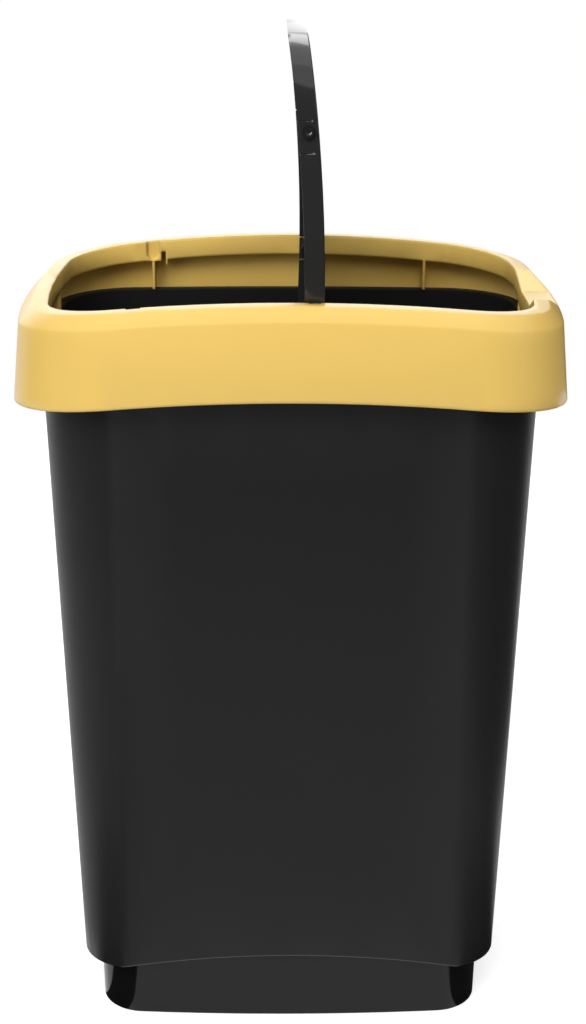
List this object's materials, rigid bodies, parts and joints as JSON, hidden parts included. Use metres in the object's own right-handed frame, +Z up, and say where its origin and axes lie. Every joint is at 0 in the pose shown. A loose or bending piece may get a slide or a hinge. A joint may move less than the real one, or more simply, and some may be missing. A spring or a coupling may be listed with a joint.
{
  "type": "swing-lid recycling bin",
  "caption": "Tapered black recycling bin on a recessed plinth, with a lift-off yellow collar and an arched swing lid standing open on its pivot pins.",
  "frame": {"origin": "middle of the plinth's underside, on the ground", "axes": "+Z up, +X to the right towards the finger scoop, +Y to the back"},
  "size_m": [0.3333, 0.251, 0.6199],
  "materials": {
    "tub": "fine satin grain",
    "plinth": "polished",
    "collar": "polished",
    "lid": "satin gloss",
    "pins": "satin"
  },
  "bodies": {
    "tub_body": {"tub": "tub", "plinth": "plinth"},
    "collar_body": {"collar": "collar"},
    "lid_body": {"swing_lid": "lid", "pivot_pin_front": "pins", "pivot_pin_rear": "pins", "rest_pin_front": "pins", "rest_pin_rear": "pins"}
  },
  "joints": [
    {"name": "collar_lift", "type": "slide", "parent": "tub_body", "child": "collar_body", "axis": [0, 0, 1], "range_m": [0, 0.15]},
    {"name": "lid_swing", "type": "hinge", "parent": "collar_body", "child": "lid_body", "pos_m": [0.0126, 0, 0.46392], "axis": [0, 1, 0], "range_deg": [-90, 0]}
  ]
}
